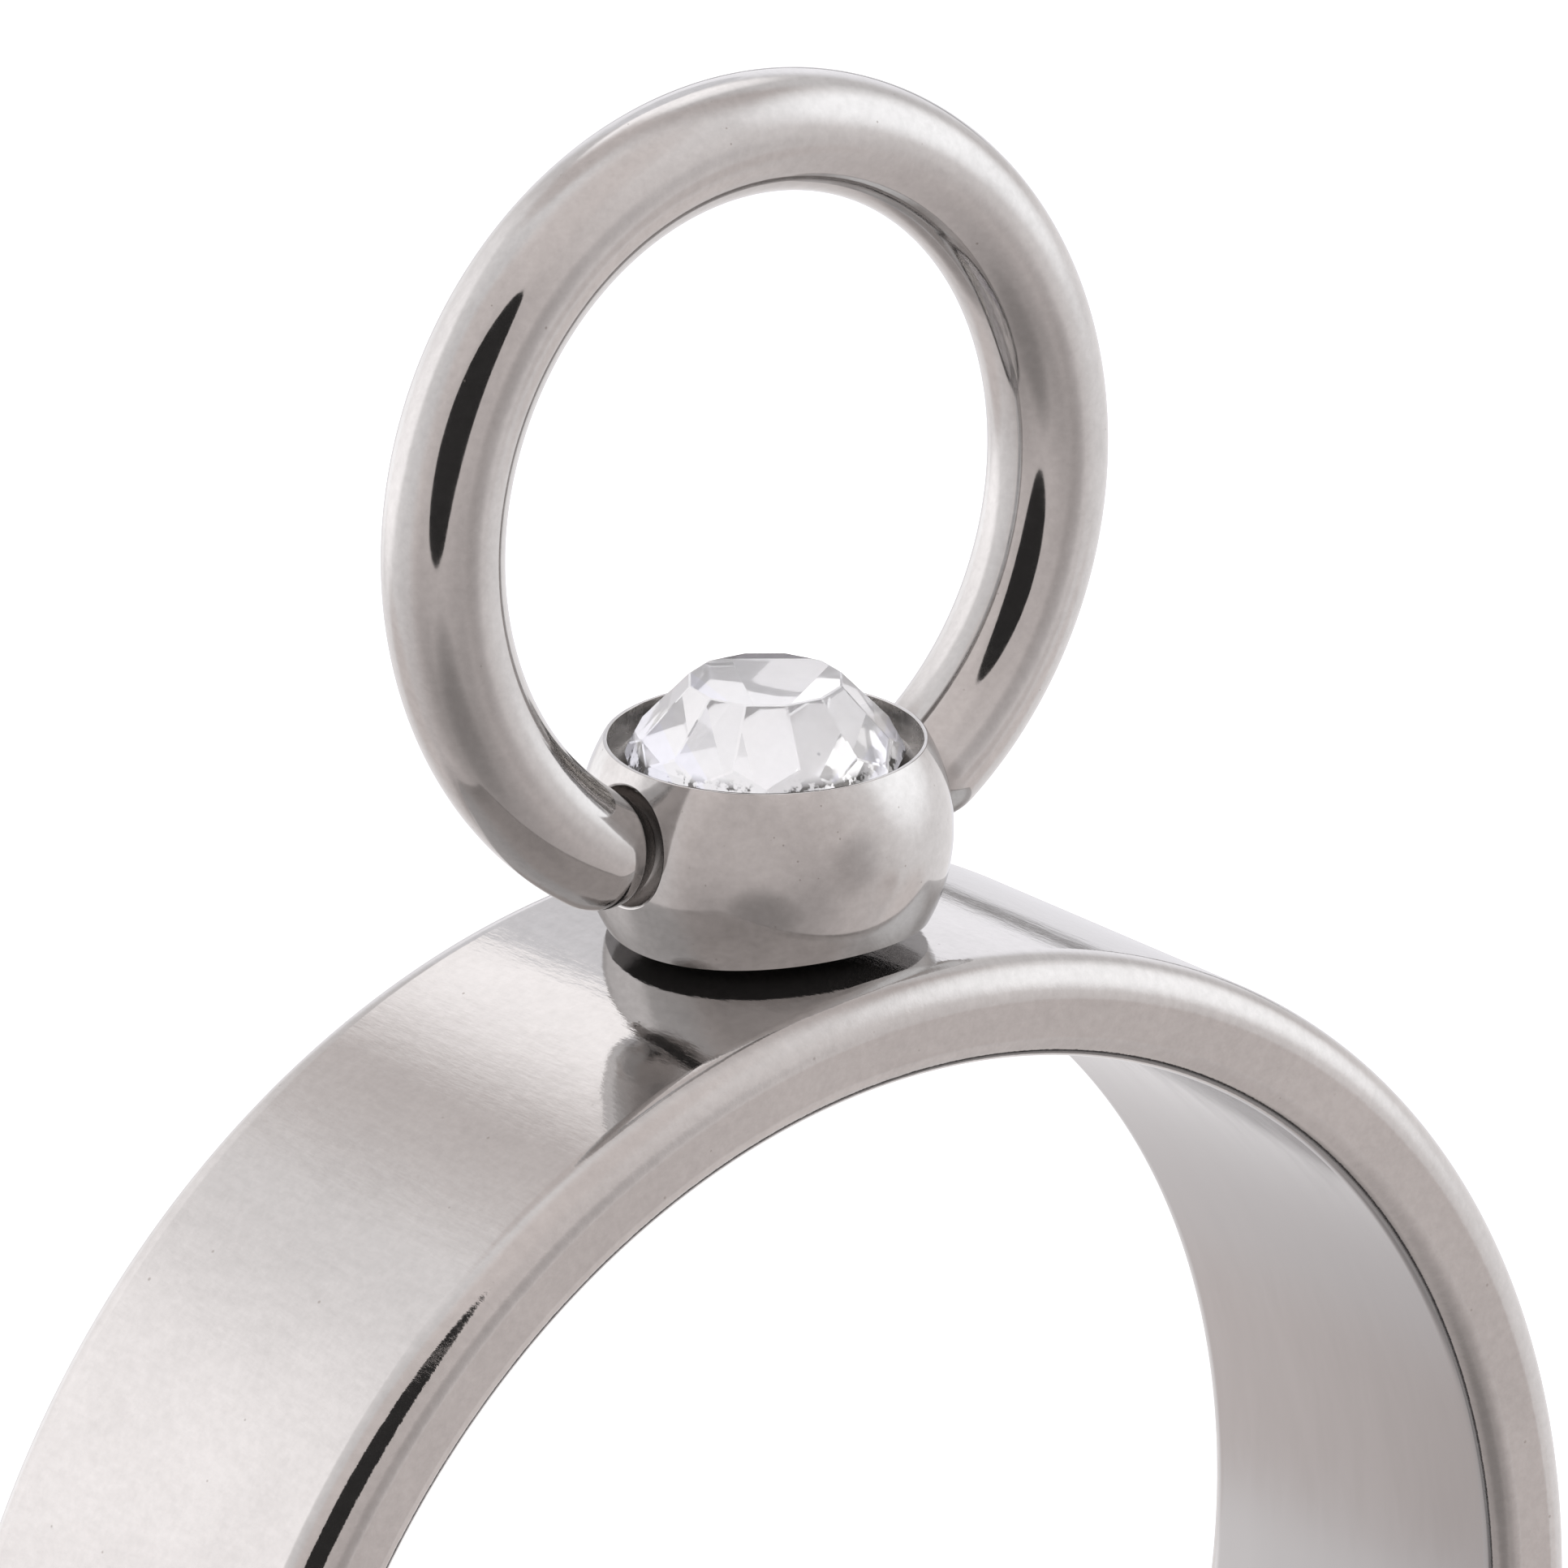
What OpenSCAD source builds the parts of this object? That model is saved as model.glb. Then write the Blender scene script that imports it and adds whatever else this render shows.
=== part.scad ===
// Ring with a plain polished band, a bead setting with a round cut crystal,
// and a wire hoop that stands in two dimples in the bead and swivels there.
// The ring lies on its side: Z is the finger axis, Y points from the finger to the bead.
// The origin is the centre of the finger hole, halfway across the band.

/* [Band] */
// Diameter of the finger hole
finger_hole_d = 20.85; // [16:0.05:23]
// Thickness of the band's wall
band_wall = 1.4; // [1.3:0.05:2]
// Width of the band along the finger
band_width = 6.2; // [5.6:0.1:8]
// Radius of the two outer shoulders
shoulder_radius = 0.55; // [0.3:0.05:0.6]
// Radius of the two inner edges
inner_edge_radius = 0.4; // [0.2:0.05:0.5]

/* [Bead] */
// Diameter of the ball that the bead is turned from
ball_d = 4.93; // [4.8:0.01:5.2]
// Height of the ball's middle above the band's surface
ball_lift = 1.3; // [1.25:0.01:1.4]
// Height of the cup's lip above the ball's middle
lip_height = 1.25; // [1.2:0.01:1.3]
// Width of the lip's flat top
lip_width = 0.055; // [0.04:0.005:0.12]
// Height of the gap between the bead and the band
bead_gap = 0.22; // [0.15:0.01:0.3]
// Radius of the stud under the bead
stud_radius = 0.9; // [0.6:0.05:1.1]
// Depth of the stud's hole in the band
stud_hole_depth = 0.9; // [0.5:0.05:0.95]
// How far the bead and the hoop are turned on the stud, in degrees
setting_turn = -1.8; // [-5:0.1:5]

/* [Crystal] */
// Number of main crown facets, one to each side of the table
crown_facets = 12; // [8:1:12]
// Height of the table above the ball's middle
table_height = 2.06; // [1.95:0.01:2.15]
// Radius of the circle inside the table
table_radius = 0.99; // [0.9:0.01:1.05]
// Slope of the main crown facets
crown_slope = 47.5; // [45:0.5:50]
// Height above the ball's middle where the small crown facets start
small_facet_height = 1.38; // [1.34:0.01:1.44]
// Slope of the small crown facets
small_facet_slope = 71; // [68:0.5:74]
// Radius of the stone's girdle
girdle_radius = 1.86; // [1.82:0.01:1.9]
// Height of the girdle's lower edge above the ball's middle
girdle_height = 1.0; // [0.96:0.01:1.04]
// Number of facets under the girdle
pavilion_facets = 8; // [8:1:12]
// Slope of the facets under the girdle
pavilion_slope = 40; // [36:0.5:41]
// How far the crown's facets are turned about the bead's axis, in degrees
crown_turn = 22.8; // [0:0.1:30]

/* [Hoop] */
// Diameter of the hoop's wire
wire_d = 1.6; // [1.5:0.05:1.65]
// Radius of the hoop's centre line
hoop_radius = 4.94; // [4.8:0.01:5.2]
// Height of the hoop's centre above the ball's middle
hoop_height = 4.45; // [4.4:0.01:4.6]
// Height of the hinge line above the ball's middle
hinge_height = 0.3; // [0.28:0.01:0.32]
// Distance of each wire end's round from the middle
wire_end_x = 2.74; // [2.72:0.01:2.8]
// How far the hoop has slid along the hinge line
hoop_slide = -0.06; // [-0.06:0.01:0.06]
// How far the standing hoop leans, in degrees
hoop_lean = 3.4; // [0:0.1:10]

/* [Dimples] */
// Radius of the round dimples that hold the wire's ends
dimple_radius = 0.86; // [0.85:0.01:0.88]
// Distance of each dimple's centre from the middle
dimple_x = 2.62; // [2.6:0.01:2.64]

/* [Hidden] */
$fn = 128;

// Clearance between pieces that fit into each other
fit_gap = 0.03;
// Size of the blocks that cut a shape along a plane
block = 12;

band_inner_r = finger_hole_d / 2;
band_outer_r = band_inner_r + band_wall;
ball_r = ball_d / 2;
wire_r = wire_d / 2;
bead_y = band_outer_r + ball_lift;

lip_outer_r = sqrt(pow(ball_r, 2) - pow(lip_height, 2));
cup_r = lip_outer_r - lip_width;
// The cup's ledge lies just under the girdle, and a cone below it takes the pavilion
ledge_height = girdle_height - 0.05;
pavilion_apothem = girdle_radius - 0.1;
pavilion_corner_r = pavilion_apothem / cos(180 / pavilion_facets);
culet_height = girdle_height - pavilion_apothem * tan(pavilion_slope);
seat_slope_run = pavilion_corner_r / (girdle_height - culet_height);
seat_bottom = culet_height - 0.05;

stud_top = -1;
stud_bottom = -ball_lift - stud_hole_depth + fit_gap;

wire_end_angle = asin(wire_end_x / hoop_radius);

// Puts a shape drawn about the bead's own axis, Z, in its place on the band
module on_band() {
    translate([0, bead_y, 0])
        rotate([-90, 0, 0])
            rotate([0, 0, setting_turn])
                children();
}

// Half of all space, below the plane at this distance along a line tilted from Z
module below(tilt, distance) {
    rotate([0, tilt, 0])
        translate([-block / 2, -block / 2, distance - block])
            cube(block);
}

// A ring of equal planes that slope down from a point at radius r and height z
module cut_ring(count, turn, slope, r, z) {
    reach = r * sin(slope) + z * cos(slope);
    intersection_for(k = [0 : count - 1])
        rotate([0, 0, turn + k * 360 / count])
            below(slope, reach);
}

// Half of the band's section, with a shoulder outside and a smaller edge inside
module band_section() {
    half = band_width / 2;
    translate([band_inner_r, -half + shoulder_radius])
        square([band_wall, band_width - 2 * shoulder_radius]);
    translate([band_inner_r, -half + inner_edge_radius])
        square([inner_edge_radius, band_width - 2 * inner_edge_radius]);
    translate([band_inner_r + inner_edge_radius, -half])
        square([band_wall - inner_edge_radius - shoulder_radius, band_width]);
    for (side = [-1, 1]) {
        translate([band_outer_r - shoulder_radius, side * (half - shoulder_radius)])
            circle(r = shoulder_radius);
        translate([band_inner_r + inner_edge_radius, side * (half - inner_edge_radius)])
            circle(r = inner_edge_radius);
    }
}

// Plain band with a blind hole for the bead's stud
module band() {
    color("silver")
        difference() {
            rotate_extrude()
                band_section();
            translate([0, band_outer_r - stud_hole_depth, 0])
                rotate([-90, 0, 0])
                    cylinder(h = band_wall, r = stud_radius + fit_gap);
        }
}

// Ball cut flat at the lip and hollowed underneath along the band's curve
module trimmed_ball() {
    difference() {
        sphere(r = ball_r);
        translate([-block / 2, -block / 2, lip_height])
            cube(block);
        translate([0, 0, -ball_lift - band_outer_r])
            rotate([90, 0, -setting_turn])
                cylinder(h = block, r = band_outer_r + bead_gap, center = true);
    }
}

// Hollow of the cup: a straight wall, a ledge and a cone for the stone's back
module cup_hollow() {
    ledge_run = (ledge_height - seat_bottom) * seat_slope_run;
    translate([0, 0, ledge_height])
        cylinder(h = block, r = cup_r);
    translate([0, 0, seat_bottom])
        cylinder(h = ledge_height - seat_bottom, r1 = fit_gap, r2 = ledge_run + fit_gap);
}

// Bead with its cup, its two dimples and the stud that holds it in the band
module bead_setting() {
    color("lightsteelblue")
        on_band() {
            difference() {
                union() {
                    trimmed_ball();
                    translate([0, 0, stud_bottom])
                        cylinder(h = stud_top - stud_bottom, r = stud_radius);
                }
                cup_hollow();
                for (side = [-1, 1])
                    translate([side * dimple_x, 0, hinge_height])
                        rotate([0, 90, 0])
                            sphere(r = dimple_radius);
            }
        }
}

// Cut stone: a table, main and small crown facets, a round girdle and a pointed back
module crystal() {
    ridge_run = (table_height - small_facet_height) / tan(crown_slope);
    ridge_r = (table_radius + ridge_run) / cos(180 / crown_facets);
    color("aliceblue")
        on_band()
            intersection() {
                translate([0, 0, culet_height])
                    cylinder(h = table_height - culet_height, r = girdle_radius);
                cut_ring(crown_facets, crown_turn, crown_slope, table_radius, table_height);
                cut_ring(crown_facets, crown_turn + 180 / crown_facets, small_facet_slope,
                         ridge_r, small_facet_height);
                mirror([0, 0, 1])
                    cut_ring(pavilion_facets, 0, pavilion_slope, pavilion_apothem, -girdle_height);
            }
}

// Open wire hoop whose rounded ends stand in the dimples
module hoop() {
    color("gainsboro")
        on_band()
            translate([hoop_slide, 0, hinge_height])
                rotate([-hoop_lean, 0, 0])
                    translate([0, 0, hoop_height - hinge_height])
                        rotate([90, 0, 0]) {
                            rotate([0, 0, wire_end_angle - 90])
                                rotate_extrude(angle = 360 - 2 * wire_end_angle)
                                    translate([hoop_radius, 0])
                                        circle(r = wire_r);
                            for (side = [-1, 1])
                                rotate([0, 0, side * wire_end_angle - 90])
                                    wire_round(side);
                        }
}

// Half ball that closes the wire where it stops, on the side towards the gap
module wire_round(side) {
    translate([hoop_radius, 0, 0])
        rotate([side * 90, 0, 0])
            intersection() {
                sphere(r = wire_r);
                cylinder(h = wire_d, r = wire_d);
            }
}

band();
bead_setting();
crystal();
hoop();
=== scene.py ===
# Steel ring with a bead that holds a round cut crystal and a swivelling wire hoop.
# The ring lies on its side, so Z is the finger axis and Y points from the finger to the bead.
import math
import bpy
import bmesh
from mathutils import Matrix, Vector


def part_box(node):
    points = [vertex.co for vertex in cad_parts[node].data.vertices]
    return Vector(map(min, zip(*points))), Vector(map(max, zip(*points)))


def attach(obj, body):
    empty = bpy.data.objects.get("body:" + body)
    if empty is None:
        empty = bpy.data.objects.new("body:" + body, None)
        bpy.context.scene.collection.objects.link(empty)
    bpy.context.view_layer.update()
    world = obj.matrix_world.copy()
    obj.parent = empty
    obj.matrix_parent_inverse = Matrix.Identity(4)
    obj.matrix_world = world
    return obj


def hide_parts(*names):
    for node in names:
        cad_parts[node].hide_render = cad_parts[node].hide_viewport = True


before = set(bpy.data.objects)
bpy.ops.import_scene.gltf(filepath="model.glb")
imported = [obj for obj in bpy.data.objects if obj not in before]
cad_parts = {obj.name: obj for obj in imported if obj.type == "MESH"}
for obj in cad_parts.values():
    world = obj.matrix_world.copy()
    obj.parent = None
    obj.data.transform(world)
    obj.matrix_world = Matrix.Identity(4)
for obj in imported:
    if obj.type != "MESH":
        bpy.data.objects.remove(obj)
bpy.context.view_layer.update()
scene = bpy.context.scene
mm = 0.001
print("frame loaded:", ", ".join(sorted(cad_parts)))


# small helpers

def turn(degrees, axis):
    return Matrix.Rotation(math.radians(degrees), 4, axis)


def shift(x, y, z):
    return Matrix.Translation((x, y, z))


def pieceFrom(bm, name, material, place=None):
    # sizes are in mm up to here; the piece keeps its place in its mesh
    if place is not None:
        bmesh.ops.transform(bm, matrix=place, verts=bm.verts)
    bmesh.ops.scale(bm, vec=(mm, mm, mm), verts=bm.verts)
    for face in bm.faces:
        face.smooth = True
    mesh = bpy.data.meshes.new(name)
    bm.to_mesh(mesh)
    bm.free()
    piece = bpy.data.objects.new(name, mesh)
    scene.collection.objects.link(piece)
    if material is not None:
        mesh.materials.append(material)
    return piece


def cutWith(piece, tool, operation="DIFFERENCE"):
    cut = piece.modifiers.new("cut", "BOOLEAN")
    cut.operation = operation
    cut.solver = "EXACT"
    cut.object = tool
    graph = bpy.context.evaluated_depsgraph_get()
    done = bpy.data.meshes.new_from_object(piece.evaluated_get(graph))
    piece.modifiers.clear()
    piece.data = done
    bpy.data.objects.remove(tool)


def shadeAs(piece, normalOf):
    # exact normals: normalOf(centre, point, faceNormal) gives the surface's own normal, all in mm
    mesh = piece.data
    normals = []
    for face in mesh.polygons:
        centre = face.center / mm
        for index in face.vertices:
            normals.append(normalOf(centre, mesh.vertices[index].co / mm, face.normal))
    mesh.normals_split_custom_set(normals)


def arc(bm, vert, centre, degrees, steps):
    # sweeps one vertex about Y and gives the last vertex of the arc
    made = bmesh.ops.spin(bm, geom=[vert], cent=centre, axis=(0, 1, 0),
                          angle=math.radians(degrees), steps=steps, use_duplicate=False)
    return [item for item in made["geom_last"] if isinstance(item, bmesh.types.BMVert)][0]


def lineTo(bm, vert, x, z):
    new = bm.verts.new((x, 0, z))
    bm.edges.new((vert, new))
    return new


def revolve(bm, steps):
    bmesh.ops.spin(bm, geom=list(bm.verts) + list(bm.edges), cent=(0, 0, 0), axis=(0, 0, 1),
                   angle=math.tau, steps=steps, use_merge=True)
    bmesh.ops.remove_doubles(bm, verts=bm.verts, dist=0.00005)
    bmesh.ops.dissolve_degenerate(bm, dist=0.00001, edges=bm.edges)
    bmesh.ops.recalc_face_normals(bm, faces=bm.faces)


# camera, found by fitting the ring's outlines in the photograph

view = {
    "place": (-117.329, 83.403, 143.377),  # mm
    "right": (0.77270, -0.00157, 0.63476),
    "up": (0.22460, 0.93598, -0.27109),
    "back": (-0.59370, 0.35204, 0.72359),
    "lens": 347.89, "sensor": 36.0,
    "clip": (0.01, 20),  # metres
}


def makeCamera():
    data = bpy.data.cameras.new("camera")
    data.lens = view["lens"]
    data.sensor_width = view["sensor"]
    data.clip_start, data.clip_end = view["clip"]
    camera = bpy.data.objects.new("camera", data)
    axes = Matrix((view["right"], view["up"], view["back"])).transposed()
    camera.matrix_world = Matrix.Translation(Vector(view["place"]) * mm) @ axes.to_4x4()
    scene.collection.objects.link(camera)
    scene.camera = camera


makeCamera()


# studio: white floor, pale tent, one soft window, dark opening in front of the camera

studio = {
    "wallTint": (1.072, 0.977, 0.951), "baseTint": (1.024, 0.990, 0.992),
    "lampTint": (1.0, 0.996, 1.008), "coolTint": (1.006, 0.992, 1.028),
    "wallTop": 0.765, "wallFoot": 0.87, "baseFar": 0.84, "baseNear": 1.03,
    # where the wall and the base change, as heights on a ball of radius 1
    "wallRise": (-0.05, 0.9), "baseStart": (0.1, -0.3), "baseFall": (-0.3, -0.97),
    # soft patches of light and shade around the ring, in order:
    # (direction turned from Y towards X, height angle, core, edge, level, tint); angles in degrees
    "patches": (
        (-63, -70, 20, 32, 1.38, "baseTint"),
        (-178, 25, 34, 108, 0.62, "wallTint"),
        (128, -81, 3, 16, 1.60, "lampTint"),
        (-127, 40, 4, 61, 0.37, "wallTint"),
        (-67, 39, 6, 64, 0.635, "wallTint"),
        (-139, 36, 1, 24, 0.29, "wallTint"),
        (116, 71, 1, 21, 0.46, "wallTint"),
        (65, -16, 34, 104, 0.965, "baseTint"),
        (44, -24, 20, 55, 0.595, "wallTint"),
        (55, -37, 25, 41, 0.76, "baseTint"),
        (67, 19, 1, 35, 1.45, "lampTint"),  # the soft window
        (-46, 2, 1, 21, 0.75, "wallTint"),
        (-174, -13, 13, 29, 0.37, "wallTint"),
        (128, 19, 1, 18, 0.76, "wallTint"),
        (35, -32, 3, 17, 1.32, "baseTint"),
        (31, -39, 5, 13, 1.42, "baseTint"),
        (20, -40, 6, 14, 1.38, "baseTint"),  # the window's glow on the base
        (64, -49, 6, 24, 0.60, "baseTint"),
        (2, -32, 3, 22, 0.655, "wallTint"),
        (73, -48, 6, 28, 1.13, "coolTint"),
        (46, -50, 9.4, 10.5, 0.86, "coolTint"),
        (114, -45, 14, 17, 0.93, "coolTint"),
        (118, -54, 8, 18, 0.88, "coolTint"),
        (-9, 26, 8, 35, 0.78, "wallTint"),
        (126, 42, 2, 11, 0.66, "wallTint"),
        (-146, -45, 6, 20, 0.71, "wallTint"),
    ),
    # upright seams of the tent: (direction, height angle, half width, reach, level, tint)
    "seams": (
        (91, -45, 3.8, 18, 0.32, "baseTint"),
    ),
    "backdrop": (1.0, 1.0, 1.0),
    "openingPlace": (-53.4, 36.9, 46.8),  # mm
    "openingRadii": (37.7, 29.8), "openingTurn": 172, "openingSides": 96,
    # (depth, size) of its layers: the second stops what slips through the first by chance
    "openingLayers": ((0, 1), (6, 1.075)),
    "openingColor": (0.017, 0.0165, 0.0165),
    # the photograph's bead doesn't mirror the opening: rays that the bead sends there all seem to
    # come from one point inside it, and they pass through; mm
    "beadFocus": (-0.373, 13.349, 0.456), "focusDepth": 1.835, "focusSpread": (-0.03, 0.08),
    "hollowShade": 0.76,  # light that comes by a second mirroring is dimmer
    "stoneTent": (1.27, 1.27, 1.34), "stoneShare": 0.87,  # the stone sees a softer, cooler tent
    "floorSize": 3,  # metres
    "floorColor": (0.9, 0.9, 0.9), "floorRough": 0.9, "floorGlow": 0.95,
}


def tinted(level, tint):
    return tuple(level * part for part in studio[tint])


def smoothRange(tree, value, low, high):
    ramp = tree.nodes.new("ShaderNodeMapRange")
    ramp.interpolation_type = "SMOOTHSTEP"
    ramp.inputs["From Min"].default_value = low
    ramp.inputs["From Max"].default_value = high
    tree.links.new(value, ramp.inputs["Value"])
    return ramp.outputs["Result"]


def mixColors(tree, factor, first, second):
    mix = tree.nodes.new("ShaderNodeMix")
    mix.data_type = "RGBA"
    tree.links.new(factor, mix.inputs["Factor"])
    for socket, color in ((mix.inputs[6], first), (mix.inputs[7], second)):
        if isinstance(color, tuple):
            socket.default_value = (*color, 1)
        else:
            tree.links.new(color, socket)
    return mix.outputs[2]


def mathNode(tree, operation, first, second=None, clamp=False):
    node = tree.nodes.new("ShaderNodeMath")
    node.operation = operation
    node.use_clamp = clamp
    for socket, value in zip(node.inputs, (first, second)):
        if value is None:
            continue
        if isinstance(value, (int, float)):
            socket.default_value = value
        else:
            tree.links.new(value, socket)
    return node.outputs[0]


def stretchRange(tree, value, low, high, toLow=0.0, toHigh=1.0):
    spread = tree.nodes.new("ShaderNodeMapRange")
    for label, number in (("From Min", low), ("From Max", high),
                          ("To Min", toLow), ("To Max", toHigh)):
        spread.inputs[label].default_value = number
    tree.links.new(value, spread.inputs["Value"])
    return spread.outputs["Result"]


def pointingTo(around, above):
    around, above = math.radians(around), math.radians(above)
    level = math.cos(above)
    return (math.sin(around) * level, math.cos(around) * level, math.sin(above))


def dotWith(tree, value, vector):
    product = tree.nodes.new("ShaderNodeVectorMath")
    product.operation = "DOT_PRODUCT"
    product.inputs[1].default_value = vector
    tree.links.new(value, product.inputs[0])
    return product.outputs["Value"]


def patchShare(tree, direction, around, above, core, edge):
    facing = dotWith(tree, direction, pointingTo(around, above))
    return smoothRange(tree, facing, math.cos(math.radians(edge)), math.cos(math.radians(core)))


def makeWorld():
    world = bpy.data.worlds.new("tent")
    scene.world = world
    world.use_nodes = True
    tree = world.node_tree
    tree.nodes.clear()
    direction = tree.nodes.new("ShaderNodeTexCoord").outputs["Generated"]
    height = tree.nodes.new("ShaderNodeSeparateXYZ")
    tree.links.new(direction, height.inputs[0])
    up = smoothRange(tree, height.outputs["Z"], *studio["wallRise"])
    color = mixColors(tree, up, tinted(studio["wallFoot"], "wallTint"),
                      tinted(studio["wallTop"], "wallTint"))
    down = smoothRange(tree, height.outputs["Z"], *studio["baseStart"])
    color = mixColors(tree, down, color, tinted(studio["baseFar"], "baseTint"))
    down = smoothRange(tree, height.outputs["Z"], *studio["baseFall"])
    color = mixColors(tree, down, color, tinted(studio["baseNear"], "baseTint"))
    for around, above, core, edge, level, tint in studio["patches"]:
        share = patchShare(tree, direction, around, above, core, edge)
        color = mixColors(tree, share, color, tinted(level, tint))
    for around, above, width, reach, level, tint in studio["seams"]:
        beside = mathNode(tree, "ABSOLUTE", dotWith(tree, direction, pointingTo(around + 90, 0)))
        share = smoothRange(tree, beside, math.sin(math.radians(width)), 0)
        share = mathNode(tree, "MULTIPLY", share,
                         patchShare(tree, direction, around, above, reach / 2, reach))
        color = mixColors(tree, share, color, tinted(level, tint))
    path = tree.nodes.new("ShaderNodeLightPath")
    again = mathNode(tree, "GREATER_THAN", path.outputs["Glossy Depth"], 1.5)
    inStone = mathNode(tree, "GREATER_THAN", path.outputs["Transmission Depth"], 0.5)
    dimmed = mathNode(tree, "SUBTRACT", again, inStone, clamp=True)
    color = mixColors(tree, mathNode(tree, "MULTIPLY", inStone, studio["stoneShare"]),
                      color, studio["stoneTent"])
    color = mixColors(tree, path.outputs["Is Camera Ray"], color, studio["backdrop"])
    glow = tree.nodes.new("ShaderNodeBackground")
    tree.links.new(color, glow.inputs["Color"])
    strength = stretchRange(tree, dimmed, 0, 1, 1, studio["hollowShade"])
    tree.links.new(strength, glow.inputs["Strength"])
    out = tree.nodes.new("ShaderNodeOutputWorld")
    tree.links.new(glow.outputs[0], out.inputs["Surface"])


def floorMaterial():
    material = bpy.data.materials.new("whiteFloor")
    material.use_nodes = True
    shader = material.node_tree.nodes["Principled BSDF"]
    shader.inputs["Base Color"].default_value = (*studio["floorColor"], 1)
    shader.inputs["Roughness"].default_value = studio["floorRough"]
    shader.inputs["Specular IOR Level"].default_value = 0
    shader.inputs["Emission Color"].default_value = (*studio["floorColor"], 1)
    shader.inputs["Emission Strength"].default_value = studio["floorGlow"]
    return material


def openingMaterial():
    # an even dark glow; only the first mirroring sees it, and not the bead's
    material = bpy.data.materials.new("openingDark")
    material.use_nodes = True
    tree = material.node_tree
    tree.nodes.clear()
    place = tree.nodes.new("ShaderNodeNewGeometry")
    reach = tree.nodes.new("ShaderNodeVectorMath")
    reach.operation = "DISTANCE"
    reach.inputs[1].default_value = Vector(studio["beadFocus"]) * mm
    tree.links.new(place.outputs["Position"], reach.inputs[0])
    path = tree.nodes.new("ShaderNodeLightPath")
    extra = mathNode(tree, "SUBTRACT", path.outputs["Ray Length"], reach.outputs["Value"])
    low, high = [(limit - studio["focusDepth"]) * mm for limit in studio["focusSpread"]]
    fromBead = mathNode(tree, "MULTIPLY", mathNode(tree, "GREATER_THAN", extra, low),
                        mathNode(tree, "LESS_THAN", extra, high))
    first = mathNode(tree, "LESS_THAN", path.outputs["Ray Depth"], 1.5)
    shown = mathNode(tree, "SUBTRACT", first, fromBead, clamp=True)
    glow = tree.nodes.new("ShaderNodeEmission")
    glow.inputs["Color"].default_value = (*studio["openingColor"], 1)
    clear = tree.nodes.new("ShaderNodeBsdfTransparent")
    mix = tree.nodes.new("ShaderNodeMixShader")
    tree.links.new(shown, mix.inputs[0])
    tree.links.new(clear.outputs[0], mix.inputs[1])
    tree.links.new(glow.outputs[0], mix.inputs[2])
    out = tree.nodes.new("ShaderNodeOutputMaterial")
    tree.links.new(mix.outputs[0], out.inputs["Surface"])
    return material


def makeOpening():
    # the dark opening that the camera looks through; it shows in the metal only
    wide, high = studio["openingRadii"]
    bm = bmesh.new()
    for depth, grown in studio["openingLayers"]:
        bmesh.ops.create_circle(bm, cap_ends=True, segments=studio["openingSides"], radius=grown,
                                matrix=shift(0, 0, depth))
    place = Vector(studio["openingPlace"])
    aim = place.to_track_quat("Z", "Y").to_matrix().to_4x4() @ turn(studio["openingTurn"], "Z")
    opening = pieceFrom(bm, "opening", openingMaterial(),
                        Matrix.Translation(place) @ aim @ Matrix.Diagonal((wide, high, 1, 1)))
    opening.visible_camera = False
    opening.visible_diffuse = False
    opening.visible_transmission = False
    opening.visible_shadow = False


def makeStudio():
    makeWorld()
    bm = bmesh.new()
    bmesh.ops.create_grid(bm, x_segments=1, y_segments=1, size=studio["floorSize"] / 2 / mm)
    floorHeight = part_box("band")[0][2] / mm
    floor = pieceFrom(bm, "floor", floorMaterial(), shift(0, 0, floorHeight))
    floor.visible_glossy = False  # the metal mirrors the tent's own white base instead
    makeOpening()
    scene.view_settings.view_transform = "Standard"


makeStudio()
print("studio and camera made")


# finishes

# numbers inside the two noise groups; each use of them gives the others
noiseLook = {
    "cloudDetail": 3, "grainDetail": 4, "grainRough": 0.65, "speckEdge": 18.0,
}


def newGroup(name, numbers, outputs):
    group = bpy.data.node_groups.new(name, "ShaderNodeTree")
    group.interface.new_socket("Place", in_out="INPUT", socket_type="NodeSocketVector")
    for label in numbers:
        group.interface.new_socket(label, in_out="INPUT", socket_type="NodeSocketFloat")
    for label in outputs:
        group.interface.new_socket(label, in_out="OUTPUT", socket_type="NodeSocketFloat")
    return group, group.nodes.new("NodeGroupInput"), group.nodes.new("NodeGroupOutput")


def makeHazeGroup():
    # cloudy haze and fine grain that polishing leaves; coordinates come in mm
    group, given, out = newGroup("polishHaze", ("Cloud Scale", "Grain Scale"), ("Cloud", "Grain"))
    cloud = group.nodes.new("ShaderNodeTexNoise")
    cloud.inputs["Detail"].default_value = noiseLook["cloudDetail"]
    grain = group.nodes.new("ShaderNodeTexNoise")
    grain.inputs["Detail"].default_value = noiseLook["grainDetail"]
    grain.inputs["Roughness"].default_value = noiseLook["grainRough"]
    for node, scale in ((cloud, "Cloud Scale"), (grain, "Grain Scale")):
        group.links.new(given.outputs["Place"], node.inputs["Vector"])
        group.links.new(given.outputs[scale], node.inputs["Scale"])
    group.links.new(cloud.outputs["Fac"], out.inputs["Cloud"])
    group.links.new(grain.outputs["Fac"], out.inputs["Grain"])
    return group


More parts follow.
